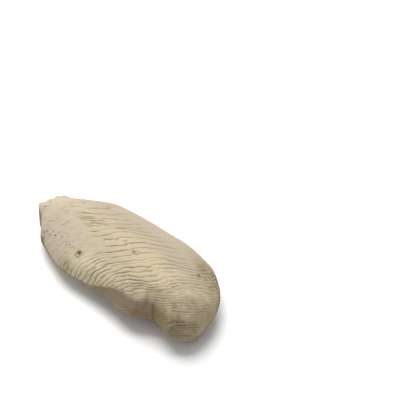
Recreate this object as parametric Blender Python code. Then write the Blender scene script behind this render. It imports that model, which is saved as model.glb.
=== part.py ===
"""A cuttlebone, lying on its hard shield with the growth ridges up.

Metres, +Z up. +X points to the round front end, and -X to the broken tail end.
The near side is -Y and the far side is +Y. The origin is under the middle of
the bone's box, on the surface that it rests on.

The bone starts as a UV sphere whose poles lie at the two ends. Its rings are
carried along the growth ridges, so that each ridge and groove is a real step
of the surface.
"""

import math

import bmesh
import bpy
from mathutils import Vector

# Driving sizes
LENGTH = 0.1525
HALF_WIDTH = 0.036
THICKNESS = 0.0283

# Mesh density: triangles are about 2 * SEGMENTS * RINGS
TOP_SEGMENTS = 26
UNDER_SEGMENTS = 14
TAIL_FACE_RINGS = 3
FRONT_CAP_RINGS = 11

# Half width on each side, as a share of HALF_WIDTH, along the bone from tail (0) to front (1)
NEAR_SIDE = ((0.00, 0.455), (0.05, 0.53), (0.12, 0.735), (0.22, 0.885), (0.34, 0.98), (0.46, 0.915),
             (0.58, 0.857), (0.68, 0.825), (0.74, 0.77), (0.775, 0.625), (0.84, 0.455), (0.92, 0.457),
             (1.00, 0.345))
FAR_SIDE = ((0.00, 0.30), (0.05, 0.36), (0.12, 0.58), (0.22, 0.89), (0.36, 0.98), (0.50, 1.03),
            (0.64, 1.09), (0.76, 1.08), (0.86, 0.985), (1.00, 0.92))
NEAR_ROUNDING_START = 0.905
FAR_ROUNDING_START = 0.795
# 2 rounds an end as a quarter ellipse, and more makes it blunter
ROUNDING_POWER = 2.2
# The front tip lies this far to the near side of the bone's axis
FRONT_SWAY = 0.0101
FRONT_SWAY_START = 0.55
FRONT_SWAY_POWER = 1.5

# Heights above the ground, as a share of THICKNESS
CROWN = ((0.00, 0.645), (0.12, 0.84), (0.30, 0.91), (0.55, 0.97), (0.80, 1.00))
MARGIN = ((0.00, 0.14), (0.15, 0.255), (0.40, 0.365), (0.65, 0.40), (0.85, 0.42), (1.00, 0.375))
CROWN_ROUNDING_START = 0.80
# How the top of a section rises from its margins: under 1 is boxy, over 1 is a soft dome
SECTION_RISE = ((0.00, 0.28), (0.10, 0.90), (0.30, 1.25), (1.00, 1.25))
# The tail is twisted: its near side stands this much higher, and its far side lower
TAIL_TILT = 0.0026
TAIL_TILT_REACH = 0.18

# Underside: the hard shield is a shallow keel, trimmed to a small flat where it rests
KEEL_DEPTH_BELOW_GROUND = 0.0011
KEEL_END_LIFT = 0.0042
KEEL_ROUNDING_START = 0.97
SHIELD_RIB = 0.0004
SHIELD_RIB_WIDTH = 0.30
RIB_START_FADE = (0.02, 0.15)
RIB_END_FADE = (0.98, 0.85)

# Growth ridges: how far a ridge runs ahead along the bone, as a share of LENGTH, across from
# the near margin (-1) to the far margin (1)
RIDGE_LEAN = ((-1.0, -0.150), (-0.8, -0.142), (-0.5, -0.095), (-0.3, -0.052), (-0.1, -0.020),
              (0.1, 0.032), (0.3, 0.082), (0.5, 0.116), (0.7, 0.134), (0.85, 0.130), (1.0, 0.090))
# How far the ridges stray from those plain lines, at the tail, in the middle and at the front
DRIFT_TAIL = ((-1.0, -0.030), (-0.6, -0.035), (-0.35, -0.035), (-0.2, 0.000), (-0.05, 0.028), (0.2, 0.045),
              (0.45, 0.055), (1.0, 0.045))
DRIFT_MIDDLE = ((-1.0, -0.030), (-0.87, -0.006), (-0.7, 0.000), (-0.5, -0.010), (-0.25, -0.004),
                (-0.07, 0.000), (0.03, -0.022), (0.25, -0.036), (0.35, -0.020), (0.5, 0.000),
                (0.65, 0.015), (1.0, 0.020))
DRIFT_FRONT = ((-1.0, -0.030), (-0.87, -0.010), (-0.7, 0.000), (-0.55, 0.012), (-0.3, 0.048), (-0.12, 0.050),
               (0.02, 0.030), (0.2, 0.024), (0.4, 0.026), (0.6, 0.036), (1.0, 0.052))
DRIFT_TAIL_PLACES = (0.42, 0.22)
DRIFT_FRONT_PLACES = (0.645, 0.74)
DRIFT_START_FADE = (0.02, 0.15)
DRIFT_END_FADE = (0.97, 0.80)

# Place of each ridge, counted from the tail, and the rings of each ridge: 0 is its groove
RIDGES = 36
RIDGE_PLACES = ((0.0, 0.034), (26.0, 0.63), (33.5, 0.77), (36.0, 0.826))
RING_PARTS = (0.0, 0.22, 0.6)
GROOVE_DEPTH = 0.0011
# Height that a ridge drops from one groove to the next, as a share of GROOVE_DEPTH
RIDGE_DROP = 0.6
FRONT_LEDGES = (-0.3, 0.1)
PLAIN_TIP_RINGS = 3
# Ridges and pits stand out from the dome in this direction: sideways as a share of across, and up
OUT_SIDEWAYS = 0.8
OUT_UPWARDS = 0.2

# Every second groove is left out, save near these margins and towards the front
CLOSE_ACROSS = (-0.42, -0.70)
CLOSE_PLACES = (0.635, 0.665)

# Where the ridges weaken or deepen: each fade runs from its first place to its second
MARGIN_FADE = (0.02, 0.22)
RIDGES_END = (0.785, 0.825)
NEAR_FAN_ACROSS = (-0.50, -0.80)
NEAR_FAN_ALONG = (0.60, 0.50)
NEAR_FAN_STRENGTH = 1.6
FAR_BAND_ACROSS = (0.45, 0.65)
FAR_BAND_ALONG = (0.84, 0.76)
FAR_BAND_STRENGTH = 0.2
UPPER_TAIL_ALONG = (0.50, 0.30)
UPPER_TAIL_ACROSS = (-0.5, -0.2)
UPPER_TAIL_STRENGTH = 0.55
# The worn tail, where ridges are nearly gone, ends here, from the near to the far margin
WORN_TO = ((-1.0, 0.29), (-0.88, 0.35), (-0.7, 0.39), (-0.5, 0.40), (-0.37, 0.39), (-0.28, 0.32),
           (-0.22, 0.25), (-0.12, 0.12), (0.0, 0.09), (0.5, 0.12), (1.0, 0.20))
WORN_EDGE = (-0.03, 0.09)
WORN_STRENGTH = 0.06

# Broken tail: how far the break stands back, across from the near to the far side
TAIL_BREAK = ((-1.0, 0.0034), (-0.85, 0.0006), (-0.72, -0.0010), (-0.5, 0.0006), (-0.3, 0.0002),
              (-0.1, 0.0012), (0.2, 0.0000), (0.45, 0.0014), (0.7, 0.0006), (1.0, 0.0032))
TAIL_BREAK_REACH = 0.09
TAIL_FACE_HOLLOW = 0.0015

# Worn facet low on the near flank: how steeply it rises from the margin, along the bone, and
# how much of the dome's height above it is taken to blend the two
FACET_SLOPE = ((0.46, 5.0), (0.53, 2.6), (0.60, 1.65), (0.66, 1.40), (0.72, 1.38), (0.77, 1.55), (0.80, 1.90),
               (0.84, 2.8), (0.88, 5.0))
FACET_EDGE = ((0.60, 0.0006), (0.76, 0.0030))

# Pits: place along, place across, radius and depth
PITS = ((0.368, -0.68, 0.0026, 0.0013), (0.477, 0.04, 0.0020, 0.0009), (0.553, -0.04, 0.0020, 0.0009))

SHARP_EDGE_ANGLE = math.radians(35)
BONE_COLOUR = (0.66, 0.56, 0.42, 1.0)
BONE_ROUGHNESS = 0.85


def through(stations, place):
    """Height at place of a smooth curve through the stations, which never overshoots them."""
    if place <= stations[0][0]:
        return stations[0][1]
    if place >= stations[-1][0]:
        return stations[-1][1]
    index = 0
    while stations[index + 1][0] < place:
        index += 1

    def rate(i):
        return (stations[i + 1][1] - stations[i][1]) / (stations[i + 1][0] - stations[i][0])

    def slope(i):
        if i == 0:
            return rate(0)
        if i == len(stations) - 1:
            return rate(i - 1)
        before, after = rate(i - 1), rate(i)
        return 0.0 if before * after <= 0.0 else 2.0 * before * after / (before + after)

    left, right = stations[index], stations[index + 1]
    span = right[0] - left[0]
    s = (place - left[0]) / span
    rise = right[1] - left[1]
    start, end = slope(index) * span, slope(index + 1) * span
    return left[1] + s * (start + s * ((3.0 * rise - 2.0 * start - end) + s * (start + end - 2.0 * rise)))


def fade(value, start, end):
    """0 before start, 1 after end, smooth between; start may be the larger."""
    s = min(max((value - start) / (end - start), 0.0), 1.0)
    return s * s * (3.0 - 2.0 * s)


def round_off(place, start):
    """1 up to start, then rounded down to 0 at the front end."""
    s = min(max((place - start) / (1.0 - start), 0.0), 1.0)
    return max(1.0 - s ** ROUNDING_POWER, 0.0) ** (1.0 / ROUNDING_POWER)


def ridge_profile(part):
    """Height over one ridge, from its groove at 0 to the next groove at 1."""
    return -1.0 if part == 0.0 else RIDGE_DROP * (0.5 - part)


def ring_places():
    """Each ring after the tail's pole: place, size, height where ridges lie close and where they lie wide."""
    rings = []
    for i in range(1, TAIL_FACE_RINGS + 1):
        rings.append((0.0, i / TAIL_FACE_RINGS, 0.0, 0.0))
    for ridge in range(RIDGES):
        for part in RING_PARTS:
            place = through(RIDGE_PLACES, ridge + part)
            strength = 1.0 - fade(place, *RIDGES_END)
            wide_part = (ridge % 2 + part) / 2.0
            rings.append((place, 1.0, strength * ridge_profile(part), strength * ridge_profile(wide_part)))
    cap_start = RIDGE_PLACES[-1][1]
    for i in range(FRONT_CAP_RINGS):
        share = (i + 0.5) / FRONT_CAP_RINGS
        place = cap_start + (1.0 - cap_start) * math.sin(share * math.pi / 2.0)
        height = FRONT_LEDGES[i % 2] if i < FRONT_CAP_RINGS - PLAIN_TIP_RINGS else 0.0
        rings.append((place, 1.0, height, height))
    return rings


def section_angle(segment):
    """Angle round the section: 0 at the near margin, pi at the far margin, the top between them."""
    if segment <= TOP_SEGMENTS:
        return math.pi * segment / TOP_SEGMENTS
    return math.pi * (1.0 + (segment - TOP_SEGMENTS) / UNDER_SEGMENTS)


def drift(place, across):
    """How far a ridge strays along the bone from its plain line."""
    tail = fade(place, *DRIFT_TAIL_PLACES)
    front = fade(place, *DRIFT_FRONT_PLACES)
    stray = tail * through(DRIFT_TAIL, across) + front * through(DRIFT_FRONT, across)
    stray += (1.0 - tail - front) * through(DRIFT_MIDDLE, across)
    return stray * fade(place, *DRIFT_START_FADE) * fade(place, *DRIFT_END_FADE)


def place_along(ring_place, across, on_top):
    """Where a ring lies along the bone, at a place across it."""
    far_share = (across + 1.0) / 2.0
    if on_top:
        lean = through(RIDGE_LEAN, across)
        place = ring_place + drift(ring_place, across)
    else:
        lean = RIDGE_LEAN[0][1] * (1.0 - far_share) + RIDGE_LEAN[-1][1] * far_share
        place = ring_place + drift(ring_place, -1.0) * (1.0 - far_share) + drift(ring_place, 1.0) * far_share
    return place + lean * 4.0 * place * (1.0 - place)


def half_width(along, across):
    if across < 0.0:
        return HALF_WIDTH * through(NEAR_SIDE, along) * round_off(along, NEAR_ROUNDING_START)
    return HALF_WIDTH * through(FAR_SIDE, along) * round_off(along, FAR_ROUNDING_START)


def ridge_strength(along, across, angle):
    """Share of the full groove depth at a point of the ridged side."""
    margins = fade(math.sin(angle), *MARGIN_FADE)
    worn = WORN_STRENGTH + (1.0 - WORN_STRENGTH) * fade(along - through(WORN_TO, across), *WORN_EDGE)
    upper_tail = fade(along, *UPPER_TAIL_ALONG) * fade(across, *UPPER_TAIL_ACROSS)
    fan = fade(across, *NEAR_FAN_ACROSS) * fade(along, *NEAR_FAN_ALONG)
    band = fade(across, *FAR_BAND_ACROSS) * fade(along, *FAR_BAND_ALONG)
    strength = margins * worn * (1.0 - (1.0 - UPPER_TAIL_STRENGTH) * upper_tail)
    strength *= 1.0 + (NEAR_FAN_STRENGTH - 1.0) * fan
    return strength * (1.0 - (1.0 - FAR_BAND_STRENGTH) * band)


def pit_depth(along, across, half):
    depth = 0.0
    for pit_along, pit_across, radius, deepest in PITS:
        gap = math.hypot((along - pit_along) * LENGTH, (across - pit_across) * half)
        depth += deepest * fade(gap, radius, 0.0)
    return depth


def bone_point(ring_place, ring_size, close_height, wide_height, angle):
    """The bone's surface at one vertex, before it is set down on the ground."""
    across = -math.cos(angle)
    over = math.sin(angle)
    on_top = over >= 0.0
    along = place_along(ring_place, across, on_top)
    half = half_width(along, across)
    sway = -FRONT_SWAY * max((along - FRONT_SWAY_START) / (1.0 - FRONT_SWAY_START), 0.0) ** FRONT_SWAY_POWER
    margin = THICKNESS * through(MARGIN, along)
    crown = THICKNESS * through(CROWN, min(along, CROWN_ROUNDING_START))
    crown = margin + (crown - margin) * round_off(along, CROWN_ROUNDING_START)

    x = LENGTH * (along - 0.5)
    y = sway + half * across
    worn = 0.0
    if on_top:
        z = margin + (crown - margin) * over ** through(SECTION_RISE, along)
        if across < 0.0:
            facet = margin + through(FACET_SLOPE, along) * half * (1.0 + across)
            worn = fade(z - facet, 0.0, through(FACET_EDGE, along))
            z += (facet - z) * worn
    else:
        keel = -KEEL_DEPTH_BELOW_GROUND + KEEL_END_LIFT * abs(2.0 * along - 1.0) ** 3
        keel = margin - (margin - keel) * round_off(along, KEEL_ROUNDING_START)
        z = margin - (margin - keel) * over ** 2
        rib = math.cos(math.pi * min(abs(across) / SHIELD_RIB_WIDTH, 2.0))
        z -= 0.5 * SHIELD_RIB * (rib - 1.0) * fade(along, *RIB_START_FADE) * fade(along, *RIB_END_FADE)

    z -= TAIL_TILT * across * fade(along, TAIL_TILT_REACH, 0.0) * fade(z, 0.0, 0.5 * THICKNESS)
    x += through(TAIL_BREAK, across) * fade(along, TAIL_BREAK_REACH, 0.0) * ring_size ** 2
    x += TAIL_FACE_HOLLOW * (1.0 - ring_size ** 2)

    if on_top:
        close = max(fade(across, *CLOSE_ACROSS), fade(ring_place, *CLOSE_PLACES))
        height = close * close_height + (1.0 - close) * wide_height
        lift = GROOVE_DEPTH * height * ridge_strength(along, across, angle) * (1.0 - worn)
        lift -= pit_depth(along, across, half)
        outward = Vector((0.0, across * OUT_SIDEWAYS, over + OUT_UPWARDS)).normalized()
        y += outward.y * lift
        z += outward.z * lift

    middle = Vector((x, 0.0, 0.5 * crown))
    return middle.lerp(Vector((x, y, z)), ring_size)


def build_bone():
    rings = ring_places()
    segments = TOP_SEGMENTS + UNDER_SEGMENTS
    ring_count = len(rings) + 1
    mesh = bmesh.new()
    bmesh.ops.create_uvsphere(mesh, u_segments=segments, v_segments=ring_count, radius=1.0)
    tail_middle = Vector((TAIL_FACE_HOLLOW - LENGTH / 2.0, 0.0, THICKNESS * CROWN[0][1] / 2.0))
    front_tip = Vector((LENGTH / 2.0, -FRONT_SWAY, THICKNESS * MARGIN[-1][1]))
    for vertex in mesh.verts:
        polar = math.acos(min(max(vertex.co.z, -1.0), 1.0))
        ring = round(polar / math.pi * ring_count)
        if ring == 0:
            vertex.co = tail_middle
            continue
        if ring == ring_count:
            vertex.co = front_tip
            continue
        turn = math.atan2(vertex.co.y, vertex.co.x) % math.tau
        segment = round(turn / math.tau * segments) % segments
        vertex.co = bone_point(*rings[ring - 1], section_angle(segment))

    low_x = min(v.co.x for v in mesh.verts)
    high_x = max(v.co.x for v in mesh.verts)
    low_y = min(v.co.y for v in mesh.verts)
    high_y = max(v.co.y for v in mesh.verts)
    for vertex in mesh.verts:
        vertex.co.x -= (low_x + high_x) / 2.0
        vertex.co.y -= (low_y + high_y) / 2.0
        vertex.co.z = max(vertex.co.z, 0.0)

    data = bpy.data.meshes.new("cuttlebone")
    mesh.to_mesh(data)
    mesh.free()
    data.shade_smooth()
    data.set_sharp_from_angle(angle=SHARP_EDGE_ANGLE)
    return bpy.data.objects.new("cuttlebone", data)


def bone_material():
    material = bpy.data.materials.new("chalky bone")
    material.use_nodes = True
    shader = material.node_tree.nodes["Principled BSDF"]
    shader.inputs["Base Color"].default_value = BONE_COLOUR
    shader.inputs["Roughness"].default_value = BONE_ROUGHNESS
    shader.inputs["Metallic"].default_value = 0.0
    return material


def main():
    for old in list(bpy.data.objects):
        bpy.data.objects.remove(old, do_unlink=True)
    parts = bpy.data.collections.new("cuttlebone")
    bpy.context.scene.collection.children.link(parts)
    bone = build_bone()
    bone.data.materials.append(bone_material())
    parts.objects.link(bone)


main()
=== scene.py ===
"""The cuttlebone's finished look: fine growth ridges, pits, chips and the broken tail, with a chalky finish.

The bone is built over the same stations as its CAD solid, so it lies where the solid does. Three numbers
say where a point lies on it. Along goes from 0 at the tail to 1 at the front end, across from -1 at the near
margin to 1 at the far margin, and over is 1 on the crown, 0 at the margins and -1 on the keel. The rings of
the mesh follow the growth ridges, and place is how far a ring is from the tail, from 0 to 1, before it leans
and drifts.
"""

import math

import bpy
import numpy as np
from mathutils import Matrix, Vector

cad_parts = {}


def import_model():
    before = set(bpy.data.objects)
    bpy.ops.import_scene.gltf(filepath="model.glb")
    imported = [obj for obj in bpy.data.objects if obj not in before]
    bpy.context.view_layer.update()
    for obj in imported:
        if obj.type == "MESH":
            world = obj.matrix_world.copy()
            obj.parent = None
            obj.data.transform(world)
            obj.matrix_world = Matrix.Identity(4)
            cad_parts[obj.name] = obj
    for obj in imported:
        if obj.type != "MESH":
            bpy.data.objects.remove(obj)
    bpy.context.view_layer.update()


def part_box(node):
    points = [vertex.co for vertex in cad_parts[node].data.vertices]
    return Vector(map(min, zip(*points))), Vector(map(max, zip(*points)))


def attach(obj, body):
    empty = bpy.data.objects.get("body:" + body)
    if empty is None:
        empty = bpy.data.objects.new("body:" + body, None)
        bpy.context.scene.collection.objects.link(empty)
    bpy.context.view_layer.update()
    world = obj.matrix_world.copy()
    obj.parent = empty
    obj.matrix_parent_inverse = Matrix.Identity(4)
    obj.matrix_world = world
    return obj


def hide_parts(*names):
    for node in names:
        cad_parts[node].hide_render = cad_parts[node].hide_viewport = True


# The bone's stations, as in its CAD solid
LENGTH = 0.1525
HALF_WIDTH = 0.036
THICKNESS = 0.0283
NEAR_SIDE = ((0.00, 0.455), (0.05, 0.53), (0.12, 0.735), (0.22, 0.885), (0.34, 0.98), (0.46, 0.915),
             (0.58, 0.857), (0.68, 0.825), (0.74, 0.77), (0.775, 0.625), (0.84, 0.455), (0.92, 0.457),
             (1.00, 0.345))
FAR_SIDE = ((0.00, 0.30), (0.05, 0.36), (0.12, 0.58), (0.22, 0.89), (0.36, 0.98), (0.50, 1.03),
            (0.64, 1.09), (0.76, 1.08), (0.86, 0.985), (1.00, 0.92))
NEAR_ROUNDING_START = 0.905
FAR_ROUNDING_START = 0.795
ROUNDING_POWER = 2.2
FRONT_SWAY = 0.0101
FRONT_SWAY_START = 0.55
FRONT_SWAY_POWER = 1.5
CROWN = ((0.00, 0.645), (0.12, 0.84), (0.30, 0.91), (0.55, 0.97), (0.80, 1.00))
MARGIN = ((0.00, 0.14), (0.15, 0.255), (0.40, 0.365), (0.65, 0.40), (0.85, 0.42), (1.00, 0.375))
CROWN_ROUNDING_START = 0.80
SECTION_RISE = ((0.00, 0.28), (0.10, 0.90), (0.30, 1.25), (1.00, 1.25))
KEEL_DEPTH_BELOW_GROUND = 0.0011
KEEL_END_LIFT = 0.0042
KEEL_ROUNDING_START = 0.97
SHIELD_RIB = 0.0004
SHIELD_RIB_WIDTH = 0.30
RIDGE_LEAN = ((-1.0, -0.150), (-0.8, -0.142), (-0.5, -0.095), (-0.3, -0.052), (-0.1, -0.020),
              (0.1, 0.032), (0.3, 0.082), (0.5, 0.116), (0.7, 0.134), (0.85, 0.130), (1.0, 0.090))
TAIL_BREAK = ((-1.0, 0.0034), (-0.85, 0.0006), (-0.72, -0.0010), (-0.5, 0.0006), (-0.3, 0.0002),
              (-0.1, 0.0012), (0.2, 0.0000), (0.45, 0.0014), (0.7, 0.0006), (1.0, 0.0032))
TAIL_BREAK_REACH = 0.09
TAIL_TILT = 0.0026
TAIL_TILT_REACH = 0.18
TAIL_FACE_HOLLOW = 0.0015
# Worn facet low on the near flank: how steeply it rises from the margin, and how soft its upper edge is
FACET_SLOPE = ((0.46, 5.0), (0.53, 2.6), (0.60, 1.65), (0.66, 1.40), (0.72, 1.38), (0.77, 1.55), (0.80, 1.90),
               (0.84, 2.8), (0.88, 5.0))
FACET_EDGE = ((0.60, 0.0006), (0.76, 0.0030))
# Depths of the facet below the full dome between which its ridges vanish, and the share of its edge over
# which its grey tint and painted shade fade in
FACET_BARE = (-0.0003, 0.0005)
FACET_TINT_AND_SHADE_EDGE = 0.6

# Mesh density
TOP_SEGMENTS = 150
UNDER_SEGMENTS = 36
TAIL_FACE_RINGS = 24
MAIN_RINGS = 446
FRONT_RINGS = 40
FRONT_RINGS_START = 0.985
SHARP_EDGE_ANGLE = math.radians(55.0)

# Growth ridges
# How many ridges lie between the tail and a place
RIDGE_COUNT = ((0.0, -1.5), (0.63, 26.0), (0.77, 33.5), (0.83, 36.2), (1.0, 42.0))
GROOVE_DEPTH = 0.00085
# Groove widths and the height of a ridge's step, as shares of the ridge spacing and of the groove depth
GROOVE_WIDTH = 0.13
SECOND_GROOVE_WIDTH = 0.07
STEP_HEIGHT = 0.6
# How far the ridges drift along the bone from their plain lines, from the near to the far margin
DRIFT_TAIL = ((-1.0, -0.030), (-0.6, -0.035), (-0.35, -0.035), (-0.2, 0.000), (-0.05, 0.028), (0.2, 0.045),
              (0.45, 0.055), (1.0, 0.045))
DRIFT_MIDDLE = ((-1.0, -0.004), (-0.87, -0.004), (-0.7, -0.006), (-0.5, -0.010), (-0.25, -0.004),
                (-0.07, 0.000), (0.03, -0.022), (0.25, -0.036), (0.35, -0.020), (0.5, 0.000), (0.65, 0.015),
                (1.0, 0.020))
DRIFT_FRONT = ((-1.0, -0.030), (-0.87, -0.010), (-0.7, 0.000), (-0.55, 0.012), (-0.3, 0.048), (-0.12, 0.050),
               (0.02, 0.030), (0.2, 0.024), (0.4, 0.026), (0.6, 0.036), (1.0, 0.052))
# The worn tail, where ridges are nearly gone, ends here, from the near to the far margin
WORN_TO = ((-1.0, 0.28), (-0.88, 0.32), (-0.7, 0.36), (-0.5, 0.40), (-0.37, 0.39), (-0.28, 0.32),
           (-0.22, 0.25), (-0.12, 0.12), (0.0, 0.09), (0.5, 0.12), (1.0, 0.20))

# Faint layers of the smooth front end: the planes they lie along, their spacing, depth and width
LAYER_PLANE = (-0.49, 0.45, 0.74)
LAYER_SPACING = 0.0016
LAYER_DEPTH = 0.00022
LAYER_WIDTH = 0.20
# Depth of the worn tail's grains, and height of the lumps of the front end
GRAIN_DEPTH = 0.00018
LUMP_HEIGHT = 0.0005
# The broken tail face: its roughness, and the spacing, depth and width of the layers that show in it
FACE_ROUGHNESS = 0.0004
FACE_LAYER_SPACING = 0.0021
FACE_LAYER_DEPTH = 0.0004
FACE_LAYER_WIDTH = 0.25
# The way the relief stands out from the bone: how far sideways at a margin, and how far up everywhere
OUT_SIDEWAYS = 0.8
OUT_UP = 0.2
# How much of the relief is cut along the bone at the blunt front end
FRONT_CUT = 0.8
# How dark the painted shade in the fine relief's hollows is, where 1 is as dark as a groove between ridges,
# and how olive the grooves of the fan are
LAYER_SHADE = 0.45
LOW_LAYER_SHADE = 0.8
GRAIN_SHADE = 0.5
FACE_LAYER_SHADE = 0.5
MARK_SHADE = 0.8
FAN_OLIVE = 0.3
# Sizes of random features, most of them given two ways across the surface
LAYER_BENDS = (0.0100, 0.0100)
LAYER_WAVERS = (0.0034, 0.0034)
LAYER_LENGTH = 0.0120
FINE_GRAINS = (0.0011, 0.0011)
COARSE_GRAINS = (0.0030, 0.0030)
FINE_WAVES = (0.0016, 0.0016)
COARSE_WAVES = (0.0048, 0.0036)
FINE_LUMPS = (0.0032, 0.0028)
COARSE_LUMPS = (0.0075, 0.0060)
SCRATCH_BREAKS = (0.0007, 0.0007)
FACE_BUMPS = (0.0026, 0.0016)
FACE_LAYER_BENDS = (0.0060, 0.0060)
FINE_MOTTLE = (0.0022, 0.0022)
COARSE_MOTTLE = (0.0050, 0.0050)

# Marks
# Pits: along, across, radius and depth
PITS = ((0.368, -0.68, 0.0014, 0.0012), (0.360, -0.74, 0.0010, 0.0004), (0.477, 0.04, 0.0010, 0.0007),
        (0.470, 0.00, 0.0007, 0.0005), (0.553, -0.04, 0.0009, 0.0007), (0.823, 0.57, 0.0009, 0.0006),
        (0.135, -0.90, 0.0008, 0.0005), (0.146, -0.84, 0.0009, 0.0005), (0.170, -0.83, 0.0007, 0.0005),
        (0.178, -0.74, 0.0006, 0.0004), (0.202, -0.76, 0.0009, 0.0006), (0.207, -0.66, 0.0006, 0.0004),
        (0.236, -0.68, 0.0008, 0.0005), (0.243, -0.58, 0.0006, 0.0004), (0.262, -0.59, 0.0006, 0.0004),
        (0.141, -0.97, 0.0010, 0.0007), (0.300, -0.67, 0.0007, 0.0005), (0.285, -0.72, 0.0006, 0.0004))
# Height of the raised lip round a pit, as a share of the pit's depth
PIT_LIP = 0.35
# Scratches and cracks: along and across of the start, reach in x and y, half width and depth
SCRATCHES = ((0.030, -0.68, 0.0010, 0.0012, 0.0005, 0.0004), (0.054, -0.76, 0.0014, 0.0009, 0.0005, 0.0003),
             (0.095, -0.72, 0.0018, 0.0024, 0.0005, 0.0004), (0.119, -0.72, 0.0022, 0.0012, 0.0004, 0.0003),
             (0.186, -0.53, 0.0018, 0.0012, 0.0004, 0.0003), (0.196, -0.47, 0.0008, 0.0022, 0.0004, 0.0003),
             (0.262, -0.76, 0.0026, 0.0030, 0.0005, 0.0003), (0.285, -0.66, 0.0030, 0.0022, 0.0004, 0.0003),
             (0.566, 0.03, 0.0024, -0.0022, 0.0005, 0.0005), (0.700, -0.93, 0.0044, 0.0010, 0.0004, 0.0002),
             (0.716, -0.97, 0.0040, 0.0014, 0.0004, 0.0002), (0.757, -0.55, 0.0030, -0.0042, 0.0006, 0.0003),
             (0.803, -0.78, 0.0028, -0.0030, 0.0008, 0.0006), (0.885, -0.62, 0.0060, 0.0040, 0.0005, 0.0003),
             (0.868, -0.74, 0.0050, 0.0058, 0.0006, 0.0003), (0.908, -0.87, 0.0085, 0.0074, 0.0009, 0.0006),
             (0.928, -0.88, 0.0064, 0.0070, 0.0005, 0.0004), (0.955, -0.66, 0.0040, 0.0060, 0.0005, 0.0002),
             (0.893, 0.74, 0.0027, 0.0029, 0.0005, 0.0004))
# Tinted spots: along, across, reach along and across in metres, and strength
OLIVE_SPOTS = ((0.853, -0.89, 0.008, 0.006, 0.9), (0.354, -0.97, 0.007, 0.004, 0.8),
               (0.330, -0.93, 0.006, 0.005, 0.5), (0.912, -0.96, 0.005, 0.004, 0.6),
               (0.773, 0.76, 0.007, 0.004, 0.9), (1.000, -0.33, 0.002, 0.006, 0.9),
               (0.490, -0.92, 0.020, 0.004, 0.35), (0.945, -0.55, 0.006, 0.006, 0.5))
# The small brown spots at 0.823, 0.368 and 0.553 along lie on pits and darken them
BROWN_SPOTS = ((0.936, -0.66, 0.006, 0.0030, 0.9), (0.878, -0.86, 0.004, 0.004, 0.8),
               (0.967, -0.89, 0.002, 0.003, 0.5), (0.986, 0.02, 0.0018, 0.0018, 0.5),
               (0.905, -0.60, 0.004, 0.0020, 0.6), (0.958, -0.55, 0.005, 0.0020, 0.6),
               (0.850, 0.95, 0.016, 0.005, 0.9), (0.785, 0.92, 0.012, 0.006, 0.7),
               (0.850, 0.80, 0.014, 0.006, 0.55), (0.925, -0.33, 0.006, 0.004, 0.35),
               (0.800, 0.73, 0.007, 0.005, 0.6), (0.717, 0.81, 0.009, 0.004, 0.35),
               (0.835, -0.84, 0.012, 0.007, 0.3), (0.823, 0.57, 0.002, 0.002, 0.9),
               (0.368, -0.68, 0.003, 0.003, 0.8), (0.553, -0.04, 0.002, 0.002, 0.8))
RUSTY_SPOTS = ((0.775, -0.97, 0.008, 0.003, 0.8),)
# Chips that show cream through the front end's grey tone and painted shade, in the same form
CHIPS = ((0.946, -0.35, 0.0034, 0.0026, 1.0), (0.897, -0.25, 0.0016, 0.0016, 0.8),
         (0.888, -0.58, 0.0055, 0.0022, 0.7), (0.862, -0.50, 0.0040, 0.0016, 0.5))

# Colours, as linear red, green and blue
CREAM = (0.52, 0.44, 0.29)
CREAM_BLOTCHES = (0.48, 0.41, 0.285)
SPECKLES = (0.38, 0.31, 0.21)
WORN_PALE = (0.44, 0.375, 0.29)
# Painted light that brightens the fan, where its surface turns down away from the light
FAN_PAINTED_LIGHT = (0.60, 0.52, 0.36)
FAR_PINK = (0.375, 0.31, 0.238)
# A greyer tone mixed with painted shade, for the faces that turn away from the light
GREY_AND_PAINTED_SHADE = (0.25, 0.19, 0.13)
RUST = (0.25, 0.15, 0.095)
# Painted shade, a little browner than the cream, laid into the grooves, hairlines, grains and pits
GROOVE_PAINTED_SHADE = (0.66, 0.63, 0.56)
OLIVE = (0.20, 0.18, 0.075)
BROWN = (0.24, 0.155, 0.07)
FLOOR_WHITE = (0.95, 0.95, 0.95)

# Finish of the surfaces
BONE_ROUGHNESS = 0.85
BONE_SPECULAR = 0.3
FLOOR_ROUGHNESS = 0.9
# Scales of the blotches, the speckles and the breaks in the stains, and how strong the speckles are
BLOTCH_SCALE = 60.0
SPECKLE_SCALE = 900.0
SPECKLE_SHARE = 0.18
OLIVE_SCALE = 350.0
BROWN_SCALE = 300.0
# Powdery surface too fine for the mesh
POWDER_SCALE = 1100.0
POWDER_STRENGTH = 0.25
POWDER_HEIGHT = 0.0004

# The photograph's view, and the studio round the bone
VIEW_AZIMUTH = math.radians(47.4)
VIEW_ELEVATION = math.radians(42.0)
VIEW_DISTANCE = 0.900
VIEW_ASIDE = 0.0452
VIEW_ABOVE = 0.0477
SENSOR_WIDTH = 36.0
LENS = 124.5
FLOOR_REACH = 4.0
WORLD_STRENGTH = 0.46
KEY_LIGHT_PLACE = (-0.78, 0.42, 1.25)
KEY_LIGHT_SIZE = 1.4
KEY_LIGHT_POWER = 34.0

# Factors that scatter the corners of the noise
SCATTER_A, SCATTER_B, SCATTER_SEED, SCATTER_ALL = 127.1, 311.7, 74.7, 43758.5453


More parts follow.
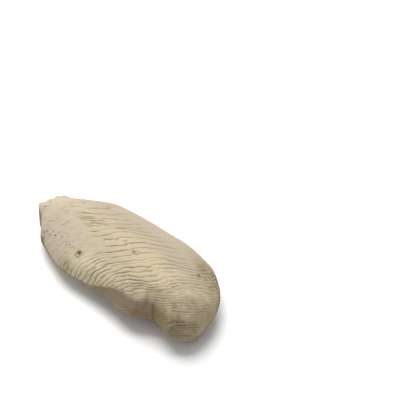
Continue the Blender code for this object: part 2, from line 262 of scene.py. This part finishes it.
def through(stations, place):
    """Heights at place of a smooth curve through the stations, which never overshoots them."""
    at = np.array([station[0] for station in stations])
    height = np.array([station[1] for station in stations])
    rate = np.diff(height) / np.diff(at)
    before, after = rate[:-1], rate[1:]
    total = np.where(before + after == 0.0, 1.0, before + after)
    inner = np.where(before * after <= 0.0, 0.0, 2.0 * before * after / total)
    slope = np.concatenate([rate[:1], inner, rate[-1:]])
    place = np.clip(place, at[0], at[-1])
    left = np.clip(np.searchsorted(at, place, side="right") - 1, 0, len(at) - 2)
    span = at[left + 1] - at[left]
    share = (place - at[left]) / span
    rise = height[left + 1] - height[left]
    start, end = slope[left] * span, slope[left + 1] * span
    bend = (3.0 * rise - 2.0 * start - end) + share * (start + end - 2.0 * rise)
    return height[left] + share * (start + share * bend)


def fade(value, start, end):
    """0 before start, 1 after end, smooth between; start may be the larger."""
    share = np.clip((value - start) / (end - start), 0.0, 1.0)
    return share * share * (3.0 - 2.0 * share)


def round_off(place, start):
    """1 up to start, then a rounded fall to 0 at 1."""
    share = np.clip((place - start) / (1.0 - start), 0.0, 1.0)
    return np.maximum(1.0 - share ** ROUNDING_POWER, 0.0) ** (1.0 / ROUNDING_POWER)


def noise(a, b, seed):
    """Smooth random heights between -1 and 1 over the plane, with features about 1 across."""
    cell_a, cell_b = np.floor(a), np.floor(b)
    share_a, share_b = a - cell_a, b - cell_b
    share_a = share_a * share_a * (3.0 - 2.0 * share_a)
    share_b = share_b * share_b * (3.0 - 2.0 * share_b)

    def corner(step_a, step_b):
        mixed = (cell_a + step_a) * SCATTER_A + (cell_b + step_b) * SCATTER_B + seed * SCATTER_SEED
        value = np.sin(mixed) * SCATTER_ALL
        return 2.0 * (value - np.floor(value)) - 1.0

    first = corner(0, 0) * (1.0 - share_a) + corner(1, 0) * share_a
    second = corner(0, 1) * (1.0 - share_a) + corner(1, 1) * share_a
    return first * (1.0 - share_b) + second * share_b


def patches(a, b, sizes, seed):
    """Noise over a surface, with features of these two sizes."""
    return noise(a / sizes[0], b / sizes[1], seed)


def line_depth(phase, width):
    """1 in the middle of each line, one line for each whole number, and 0 between them."""
    gap = np.abs(phase - np.round(phase))
    return np.exp(-(gap / width) ** 2)


def half_width(along, across):
    """How far the near or the far margin is from the middle line."""
    side = np.where(across < 0.0, through(NEAR_SIDE, along), through(FAR_SIDE, along))
    start = np.where(across < 0.0, NEAR_ROUNDING_START, FAR_ROUNDING_START)
    return HALF_WIDTH * side * round_off(along, start)


def sideways(along, across):
    """The y of a place on the bone, with the sway of the front end towards the near side."""
    share = np.maximum((along - FRONT_SWAY_START) / (1.0 - FRONT_SWAY_START), 0.0)
    return -FRONT_SWAY * share ** FRONT_SWAY_POWER + half_width(along, across) * across


def drift(place, across):
    """How far a ridge line strays along the bone from its plain line."""
    tail = fade(place, 0.42, 0.22)
    front = fade(place, 0.645, 0.74)
    middle = 1.0 - tail - front
    far = (tail * through(DRIFT_TAIL, across) + middle * through(DRIFT_MIDDLE, across)
           + front * through(DRIFT_FRONT, across))
    return far * fade(place, 0.02, 0.15) * fade(place, 0.97, 0.80)


def lean_and_drift(ring_place, across, top):
    """Along for the points of a ring, which follows the ridges on top and joins their ends under the bone."""
    near_lean, far_lean = RIDGE_LEAN[0][1], RIDGE_LEAN[-1][1]
    far_share = (across + 1.0) / 2.0
    under_lean = near_lean + (far_lean - near_lean) * far_share
    lean = np.where(top, through(RIDGE_LEAN, across), under_lean)
    under_drift = drift(ring_place, -1.0) * (1.0 - far_share) + drift(ring_place, 1.0) * far_share
    place = ring_place + np.where(top, drift(ring_place, across), under_drift)
    return place + lean * 4.0 * place * (1.0 - place)


def dome_height(along, across, over, margin, crown):
    """The ridged side with its worn facet: its height, how bare the facet is and how much grey tint and
    painted shade it takes.
    """
    dome = margin + (crown - margin) * np.maximum(over, 0.0) ** through(SECTION_RISE, along)
    facet = margin + through(FACET_SLOPE, along) * half_width(along, across) * np.minimum(1.0 + across, 1.0)
    near = (over >= 0.0) * (across < 0.0)
    edge = through(FACET_EDGE, along)
    bare = fade(dome - facet, *FACET_BARE) * near
    # The facet takes painted shade, with a greyer tone, fading in over its edge
    tint_and_shade = fade(dome - facet, -FACET_TINT_AND_SHADE_EDGE * edge, FACET_TINT_AND_SHADE_EDGE * edge) * near
    dome = dome + (facet - dome) * fade(dome - facet, 0.0, edge) * near
    return dome, bare, tint_and_shade


def shield_height(along, across, over, margin):
    """The hard side that lies down: a keel that lifts towards both ends, with a faint middle rib."""
    keel = -KEEL_DEPTH_BELOW_GROUND + KEEL_END_LIFT * np.abs(2.0 * along - 1.0) ** 3
    keel = margin - (margin - keel) * round_off(along, KEEL_ROUNDING_START)
    rib = np.cos(math.pi * np.minimum(np.abs(across) / SHIELD_RIB_WIDTH, 2.0))
    shield = margin - (margin - keel) * over ** 2
    shield -= 0.5 * SHIELD_RIB * (rib - 1.0) * fade(along, 0.02, 0.15) * fade(along, 0.98, 0.85)
    return shield


def smooth_surface(ring_place, ring_size, angle):
    """The bone without its relief: its points, its crown's height, how bare its facet is and how much grey
    tint and painted shade it takes.
    """
    across = -np.cos(angle)
    over = np.sin(angle)
    top = over >= 0.0
    along = lean_and_drift(ring_place, across, top)
    margin = THICKNESS * through(MARGIN, along)
    crown = THICKNESS * through(CROWN, np.minimum(along, CROWN_ROUNDING_START))
    crown = margin + (crown - margin) * round_off(along, CROWN_ROUNDING_START)
    dome, bare, tint_and_shade = dome_height(along, across, over, margin, crown)
    x = LENGTH * (along - 0.5)
    y = sideways(along, across)
    z = np.where(top, dome, shield_height(along, across, over, margin))
    z = z - TAIL_TILT * across * fade(along, TAIL_TILT_REACH, 0.0) * fade(z, 0.0, 0.5 * THICKNESS)
    x += through(TAIL_BREAK, across * ring_size) * fade(along, TAIL_BREAK_REACH, 0.0)
    x += TAIL_FACE_HOLLOW * (1.0 - ring_size ** 2)
    return along, across, over, x, y, z, crown, bare, tint_and_shade


def ridge_height(place, across):
    """Height of the ridges over the smooth surface, and how deep in a groove each point is."""
    count = through(RIDGE_COUNT, place)
    fan = fade(across, -0.40, -0.62)
    upper_tail = fade(across, -0.45, -0.25) * fade(place, 0.55, 0.40)
    wave = (0.22 + 0.26 * upper_tail) * noise(count * 0.40, across * 5.0, seed=3)
    wave = wave + (0.13 + 0.18 * fan + 0.12 * upper_tail) * noise(count * 1.1, across * 16.0, seed=5)
    # Ridges are twice as close in the fan and towards the front
    close = np.maximum(fade(across, -0.42, -0.70), fade(place, 0.635, 0.665))
    lively = 0.80 + 0.35 * noise(count * 0.9, across * 6.0, seed=17)
    lively = lively + 0.35 * noise(count * 1.3, across * 22.0, seed=19)
    height, deep = 0.0, 0.0
    for spacing, share in ((1.0, close), (2.0, 1.0 - close)):
        phase = (count + wave) / spacing
        part = phase - np.floor(phase)
        step = (0.5 - part) * fade(np.minimum(part, 1.0 - part), 0.0, 0.10)
        groove = lively * line_depth(phase, GROOVE_WIDTH / spacing ** 0.6)
        height = height + share * (STEP_HEIGHT * step - groove)
        deep = deep + share * groove
    # Some short thin grooves lie between the wide ridges
    some = fade(noise(count * 0.37 + 9.0, across * 3.0, seed=11), 0.20, 0.60) * (1.0 - close)
    some = some * fade(across, 0.30, 0.0)
    second = 0.6 * some * line_depth((count + 1.0 + 1.8 * wave) / 2.0, SECOND_GROOVE_WIDTH)
    return height - second, np.maximum(deep, second)


def ridge_strength(place, along, across, over):
    """How much of the ridges' height is left at each point."""
    margins = fade(over, 0.02, 0.14)
    edge = along - through(WORN_TO, across) + 0.06 * noise(place * 38.0, across * 2.5, seed=41)
    patch = 0.10 * fade(noise(place * 22.0, across * 3.0, seed=43), 0.1, 0.7)
    worn = patch + (1.0 - patch) * fade(edge, -0.04, 0.12)
    upper_tail = 1.0 + 0.10 * fade(along, 0.50, 0.30) * fade(across, -0.5, -0.2) * fade(across, 0.5, 0.2)
    front = 1.0 - fade(place, 0.785, 0.825)
    fan = 1.0 + 0.20 * fade(across, -0.50, -0.80) * fade(along, 0.60, 0.50) - 0.18 * fade(place, 0.50, 0.65)
    far_flank = 0.80 * fade(across, 0.45, 0.65) + 0.17 * fade(across, 0.78, 0.90)
    band = 1.0 - far_flank * fade(along, 0.84, 0.76)
    return margins * worn * upper_tail * front * fan * band


def layer_lines(x, y, z, place, along, over):
    """How deep each point is in a faint hairline layer of the smooth front end."""
    level = (x * LAYER_PLANE[0] + y * LAYER_PLANE[1] + z * LAYER_PLANE[2]) / LAYER_SPACING
    wave = 0.45 * patches(x, y, LAYER_BENDS, seed=23) + 0.14 * patches(x, y, LAYER_WAVERS, seed=29)
    lively = 0.35 + 0.65 * fade(noise(level * 0.9, (x + y) / LAYER_LENGTH, seed=31), -0.5, 0.5)
    lines = lively * line_depth(level + wave, LAYER_WIDTH) * fade(place, 0.78, 0.82)
    return lines * fade(over, 0.05, 0.20) * fade(along, 1.0, 0.997) * (over >= 0.0)


def worn_grain(x, y, along, across, over):
    """The worn tail's surface: how deep each point is in a grain, and the height of its unevenness."""
    worn = fade(along - through(WORN_TO, across), 0.10, -0.10) * fade(along, 0.0, 0.03)
    worn = worn * fade(over, 0.05, 0.3) * (over >= 0.0)
    grains = patches(x, y, FINE_GRAINS, seed=71) + 0.5 * patches(x, y, COARSE_GRAINS, seed=73)
    waves = patches(x, y, COARSE_WAVES, seed=79) + 0.5 * patches(x, y, FINE_WAVES, seed=83)
    return fade(grains, 0.45, 1.1) * worn, GRAIN_DEPTH * worn * waves


def front_lumps(x, y, along, across, over):
    """Height of the soft lumps of the front end."""
    lumps = patches(x, y, COARSE_LUMPS, seed=61) + 0.5 * patches(x, y, FINE_LUMPS, seed=67)
    front = fade(along - 0.1 * across, 0.74, 0.86)
    return LUMP_HEIGHT * lumps * front * fade(over, 0.05, 0.4) * (over >= 0.0)


def mark_depth(x, y):
    """Depth of the pits, dashes and cracks."""
    depth = np.zeros_like(x)
    for spot_along, spot_across, radius, spot_depth in PITS:
        spot_x = LENGTH * (spot_along - 0.5)
        spot_y = sideways(np.array(spot_along), np.array(spot_across))
        gap = np.hypot(x - spot_x, y - spot_y) / radius
        lip = PIT_LIP * fade(gap, 0.9, 1.3) * fade(gap, 2.0, 1.4)
        depth += spot_depth * (fade(gap, 1.1, 0.3) - lip)
    broken = fade(patches(x, y, SCRATCH_BREAKS, seed=89), -0.7, 0.3)
    for start_along, start_across, reach_x, reach_y, width, cut in SCRATCHES:
        start_x = LENGTH * (start_along - 0.5)
        start_y = sideways(np.array(start_along), np.array(start_across))
        reach = math.hypot(reach_x, reach_y)
        share = ((x - start_x) * reach_x + (y - start_y) * reach_y) / reach ** 2
        share = np.clip(share, 0.0, 1.0)
        gap = np.hypot(x - start_x - share * reach_x, y - start_y - share * reach_y)
        depth += cut * broken * fade(gap, width, 0.2 * width)
    return depth


def grid():
    """Place and size of every ring, as columns, and angle of every segment, as a row."""
    tail_size = np.arange(1, TAIL_FACE_RINGS + 1) / TAIL_FACE_RINGS
    main = FRONT_RINGS_START * (np.arange(1, MAIN_RINGS + 1) / MAIN_RINGS)
    share = (np.arange(FRONT_RINGS) + 1.0) / (FRONT_RINGS + 1.0)
    tip = FRONT_RINGS_START + (1.0 - FRONT_RINGS_START) * np.sin(share * math.pi / 2.0)
    place = np.concatenate([np.zeros(TAIL_FACE_RINGS), main, tip])
    size = np.concatenate([tail_size, np.ones(MAIN_RINGS + FRONT_RINGS)])
    top = math.pi * np.arange(TOP_SEGMENTS) / TOP_SEGMENTS
    under = math.pi * (1.0 + np.arange(UNDER_SEGMENTS) / UNDER_SEGMENTS)
    return place[:, None], size[:, None], np.concatenate([top, under])[None, :]


def bone_vertices():
    """The x, y and z of every point, ring by ring, and the masks of the tints, painted shade and painted
    light.
    """
    place, size, angle = np.broadcast_arrays(*grid())
    along, across, over, x, y, z, crown, bare, tint_and_shade = smooth_surface(place, size, angle)
    top = over >= 0.0
    height, deep = ridge_height(place, across)
    strength = ridge_strength(place, along, across, over) * (1.0 - bare) * top * size
    layers = layer_lines(x, y, z, place, along, over)
    grains, unevenness = worn_grain(x, y, along, across, over)
    marks = mark_depth(x, y) * top * size
    lift = GROOVE_DEPTH * height * strength - LAYER_DEPTH * layers - GRAIN_DEPTH * grains + unevenness - marks
    lift += front_lumps(x, y, along, across, over)
    # The relief stands out from the surface
    out_y, out_z = across * OUT_SIDEWAYS, over + OUT_UP
    out = np.hypot(out_y, out_z)
    y = y + out_y / out * lift
    z = z + out_z / out * lift
    # The rings of the tail's face shrink towards its middle
    y = y * size
    z = 0.5 * crown + (z - 0.5 * crown) * size
    face = fade(size, 1.0, 0.85)
    face_level = z / FACE_LAYER_SPACING + 0.5 * patches(y, z, FACE_LAYER_BENDS, seed=101)
    face_layers = line_depth(face_level, FACE_LAYER_WIDTH)
    x = x - FRONT_CUT * fade(along, 0.93, 1.0) * (LAYER_DEPTH * layers + marks)
    x = x + face * (FACE_ROUGHNESS * patches(y, z, FACE_BUMPS, seed=97) + FACE_LAYER_DEPTH * face_layers)
    masks = colour_masks(x, y, along, across, over, tint_and_shade)
    # Painted shade in the grooves, hairlines, grains, face layers and marks, strongest in the low front end's
    # hairlines
    groove = deep * strength
    low_layers = layers * fade(along - 0.05 * across, 0.95, 1.0)
    lines = groove + LAYER_SHADE * layers + LOW_LAYER_SHADE * low_layers + GRAIN_SHADE * grains
    lines += FACE_LAYER_SHADE * face * face_layers
    masks["groove"] = np.clip(lines + MARK_SHADE * marks / GROOVE_DEPTH, 0.0, 1.0)
    fan_groove = groove * fade(across, -0.55, -0.80) * fade(along, 0.62, 0.50)
    masks["olive"] = np.maximum(masks["olive"], FAN_OLIVE * np.clip(fan_groove, 0.0, 1.0))
    return x, y, z, masks


def spot_mask(along, across, spots):
    """How strongly each point lies in one of the soft spots."""
    mask = np.zeros_like(along)
    for spot_along, spot_across, reach_x, reach_y, strength in spots:
        gap_x = LENGTH * (along - spot_along) / reach_x
        gap_y = HALF_WIDTH * (across - spot_across) / reach_y
        mask = np.maximum(mask, strength * np.exp(-(gap_x ** 2 + gap_y ** 2)))
    return mask


def grey_and_shade_mask(along, across, over, mottle, tint_and_shade):
    """Greyer tone and painted shade: the facet, the near flank in front of it, the front end, its far rim and
    the near underside.
    """
    top = (over >= 0.0) * 1.0
    far_lag = 0.16 * across * top * fade(along, 1.0, 0.93)
    front_start = along - far_lag + 0.10 * (1.0 - top) + 0.25 * mottle
    low_front = (0.70 - 0.14 * fade(across, 0.05, 0.60)) * fade(front_start, 0.76, 0.94)
    flank = fade(across, -0.50, -0.92) * fade(along, 0.66, 0.76)
    near_half = fade(across, 0.3, -0.3) * fade(along, 0.30, 0.50)
    near_under = (1.0 - top) * np.maximum(near_half, fade(along, 0.80, 0.90))
    rim = top * fade(over, 0.50, 0.15) * fade(along, 0.86, 0.93)
    # Painted shade, with a greyer tone, on the facet, the near flank, the low front end, the near underside
    # and the front's far rim
    grey_and_shade = np.maximum.reduce([tint_and_shade, 0.85 * low_front, 0.85 * flank * top, 0.9 * near_under, 0.8 * rim])
    grey_and_shade = grey_and_shade * (1.0 - spot_mask(along, across, CHIPS))
    return np.clip(grey_and_shade + mottle * fade(grey_and_shade, 0.2, 0.6), 0.0, 1.0)


def colour_masks(x, y, along, across, over, tint_and_shade):
    """Where each tint, painted shade and painted light of the bone lies."""
    top = (over >= 0.0) * 1.0
    worn = fade(along - through(WORN_TO, across), 0.20, -0.10) * top
    pink = fade(across, 0.00, 0.55) * fade(along, 0.90, 0.78) * top
    mottle = 0.16 * patches(x, y, COARSE_MOTTLE, seed=53) + 0.16 * patches(x, y, FINE_MOTTLE, seed=59)
    return {
        "pale": 0.8 * worn * fade(across, 0.9, 0.3),
        # Painted light on the fan, which turns down towards the near margin
        "light": fade(across, -0.45, -0.75) * fade(along, 0.64, 0.52) * fade(along, 0.27, 0.42) * top,
        "pink": 0.8 * pink + 0.55 * (1.0 - top),
        "grey_and_shade": grey_and_shade_mask(along, across, over, mottle, tint_and_shade),
        "rust": spot_mask(along, across, RUSTY_SPOTS) * top,
        "olive": spot_mask(along, across, OLIVE_SPOTS) * top,
        "brown": spot_mask(along, across, BROWN_SPOTS) * top,
    }


def bone_faces(rings, segments):
    """Quads between the rings, and a fan of triangles round the tail's point and round the front's."""
    start = np.arange(rings - 1)[:, None] * segments
    here = np.arange(segments)[None, :]
    there = (here + 1) % segments
    quads = np.stack([start + here, start + segments + here, start + segments + there, start + there], -1)
    tail_point, front_point = rings * segments, rings * segments + 1
    last = (rings - 1) * segments
    faces = quads.reshape(-1, 4).tolist()
    faces += [(tail_point, i, (i + 1) % segments) for i in range(segments)]
    faces += [(front_point, last + (i + 1) % segments, last + i) for i in range(segments)]
    return faces


def build_bone():
    """The bone's mesh, centred on the CAD solid, with its masks as attributes of its points."""
    x, y, z, masks = bone_vertices()
    tail = (x[0].mean(), y[0].mean(), z[0].mean())
    front = (LENGTH / 2.0, -FRONT_SWAY, THICKNESS * MARGIN[-1][1])
    points = np.concatenate([np.stack([x, y, z], -1).reshape(-1, 3), [tail, front]])
    low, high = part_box("cuttlebone")
    points[:, 0] += (low.x + high.x) / 2.0 - (points[:, 0].min() + points[:, 0].max()) / 2.0
    points[:, 1] += (low.y + high.y) / 2.0 - (points[:, 1].min() + points[:, 1].max()) / 2.0
    # The keel's middle is flat where the bone rests
    points[:, 2] = np.maximum(points[:, 2], 0.0)
    mesh = bpy.data.meshes.new("cuttlebone_look")
    mesh.from_pydata(points.tolist(), [], bone_faces(*x.shape))
    for name, values in masks.items():
        column = mesh.attributes.new(name, "FLOAT", "POINT")
        ends = [values[0].mean(), values[-1].mean()]
        column.data.foreach_set("value", np.concatenate([values.ravel(), ends]).astype(np.float32))
    mesh.shade_smooth()
    mesh.set_sharp_from_angle(angle=SHARP_EDGE_ANGLE)
    bone = bpy.data.objects.new("cuttlebone_look", mesh)
    bpy.context.scene.collection.objects.link(bone)
    return bone


class Nodes:
    """Short ways to add and link the nodes of one material."""

    def __init__(self, material):
        self.tree = material.node_tree

    def put(self, kind, **settings):
        node = self.tree.nodes.new(kind)
        for name, value in settings.items():
            setattr(node, name, value)
        return node

    def link(self, source, target):
        self.tree.links.new(source, target)

    def mask(self, name):
        return self.put("ShaderNodeAttribute", attribute_name=name).outputs["Fac"]

    def mix(self, share, first, second, blend="MIX"):
        node = self.put("ShaderNodeMix", data_type="RGBA", blend_type=blend)
        colour_inputs = [socket for socket in node.inputs if socket.type == "RGBA"]
        self.link(share, node.inputs[0])
        for socket, value in zip(colour_inputs, (first, second)):
            if isinstance(value, tuple):
                socket.default_value = (*value, 1.0)
            else:
                self.link(value, socket)
        return [socket for socket in node.outputs if socket.type == "RGBA"][0]

    def noise(self, scale, detail=4.0, low=0.35, high=0.65):
        texture = self.put("ShaderNodeTexNoise")
        texture.inputs["Scale"].default_value = scale
        texture.inputs["Detail"].default_value = detail
        self.link(self.put("ShaderNodeTexCoord").outputs["Object"], texture.inputs["Vector"])
        spread = self.put("ShaderNodeMapRange")
        spread.inputs["From Min"].default_value = low
        spread.inputs["From Max"].default_value = high
        self.link(texture.outputs["Fac"], spread.inputs["Value"])
        return spread.outputs["Result"]

    def times(self, first, second):
        node = self.put("ShaderNodeMath", operation="MULTIPLY")
        for socket, value in zip(node.inputs, (first, second)):
            if isinstance(value, float):
                socket.default_value = value
            else:
                self.link(value, socket)
        return node.outputs[0]


def bone_material():
    """Chalky cream with the tints, painted shade and painted light of the masks laid over it, and a powdery
    bump.
    """
    material = bpy.data.materials.new("chalky_bone")
    material.use_nodes = True
    nodes = Nodes(material)
    shader = material.node_tree.nodes["Principled BSDF"]
    blotches = nodes.noise(BLOTCH_SCALE)
    speckle = nodes.noise(SPECKLE_SCALE, detail=2.0)
    colour = nodes.mix(blotches, CREAM, CREAM_BLOTCHES)
    colour = nodes.mix(nodes.times(speckle, SPECKLE_SHARE), colour, SPECKLES)
    # Over the cream go the worn tail's paleness, the fan's painted light, the far pink, the grey tone with
    # painted shade, and rust
    for name, tint in (("pale", WORN_PALE), ("light", FAN_PAINTED_LIGHT), ("pink", FAR_PINK), ("grey_and_shade", GREY_AND_PAINTED_SHADE),
                       ("rust", RUST)):
        colour = nodes.mix(nodes.mask(name), colour, tint)
    # Painted shade darkens the grooves, hairlines, grains and pits
    colour = nodes.mix(nodes.mask("groove"), colour, GROOVE_PAINTED_SHADE, "MULTIPLY")
    for name, tint, scale in (("olive", OLIVE, OLIVE_SCALE), ("brown", BROWN, BROWN_SCALE)):
        broken = nodes.times(nodes.mask(name), nodes.noise(scale, low=0.20, high=0.60))
        colour = nodes.mix(broken, colour, tint)
    nodes.link(colour, shader.inputs["Base Color"])
    shader.inputs["Roughness"].default_value = BONE_ROUGHNESS
    shader.inputs["Specular IOR Level"].default_value = BONE_SPECULAR
    bump = nodes.put("ShaderNodeBump")
    bump.inputs["Strength"].default_value = POWDER_STRENGTH
    bump.inputs["Distance"].default_value = POWDER_HEIGHT
    nodes.link(nodes.noise(POWDER_SCALE, detail=3.0, low=0.2, high=0.8), bump.inputs["Height"])
    nodes.link(bump.outputs["Normal"], shader.inputs["Normal"])
    return material


def floor_material():
    material = bpy.data.materials.new("white_floor")
    material.use_nodes = True
    shader = material.node_tree.nodes["Principled BSDF"]
    shader.inputs["Base Color"].default_value = (*FLOOR_WHITE, 1.0)
    shader.inputs["Roughness"].default_value = FLOOR_ROUGHNESS
    return material


def add_key_light():
    """A large soft light high on the far side of the tail, aimed at the bone."""
    data = bpy.data.lights.new("key", "AREA")
    data.size = KEY_LIGHT_SIZE
    data.energy = KEY_LIGHT_POWER
    light = bpy.data.objects.new("key", data)
    light.location = KEY_LIGHT_PLACE
    light.rotation_euler = (-Vector(KEY_LIGHT_PLACE)).to_track_quat("-Z", "Y").to_euler()
    bpy.context.scene.collection.objects.link(light)


def add_camera():
    """The photograph's view, from above the near front of the bone."""
    right = Vector((math.cos(VIEW_AZIMUTH), math.sin(VIEW_AZIMUTH), 0.0))
    ahead = Vector((-math.sin(VIEW_AZIMUTH) * math.cos(VIEW_ELEVATION),
                    math.cos(VIEW_AZIMUTH) * math.cos(VIEW_ELEVATION), -math.sin(VIEW_ELEVATION)))
    up = right.cross(ahead)
    data = bpy.data.cameras.new("photo_view")
    data.sensor_width = SENSOR_WIDTH
    data.lens = LENS
    data.clip_start = 0.01
    data.clip_end = 20.0
    camera = bpy.data.objects.new("photo_view", data)
    place = right * VIEW_ASIDE + up * VIEW_ABOVE - ahead * VIEW_DISTANCE
    turn = Matrix((right, up, -ahead)).transposed().to_4x4()
    camera.matrix_world = Matrix.Translation(place) @ turn
    bpy.context.scene.collection.objects.link(camera)
    bpy.context.scene.camera = camera


def add_stage():
    """A plain white floor in soft white light."""
    mesh = bpy.data.meshes.new("floor")
    reach = FLOOR_REACH
    mesh.from_pydata([(-reach, -reach, 0), (reach, -reach, 0), (reach, reach, 0), (-reach, reach, 0)], [],
                     [(0, 1, 2, 3)])
    floor = bpy.data.objects.new("floor", mesh)
    floor.data.materials.append(floor_material())
    bpy.context.scene.collection.objects.link(floor)
    world = bpy.data.worlds.new("soft_white")
    world.use_nodes = True
    background = world.node_tree.nodes["Background"]
    background.inputs["Color"].default_value = (1.0, 1.0, 1.0, 1.0)
    background.inputs["Strength"].default_value = WORLD_STRENGTH
    bpy.context.scene.world = world
    add_key_light()
    bpy.context.scene.view_settings.view_transform = "Standard"


def main():
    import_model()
    bone = build_bone()
    bone.data.materials.append(bone_material())
    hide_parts("cuttlebone")
    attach(bone, "root")
    add_stage()
    add_camera()
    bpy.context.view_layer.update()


main()
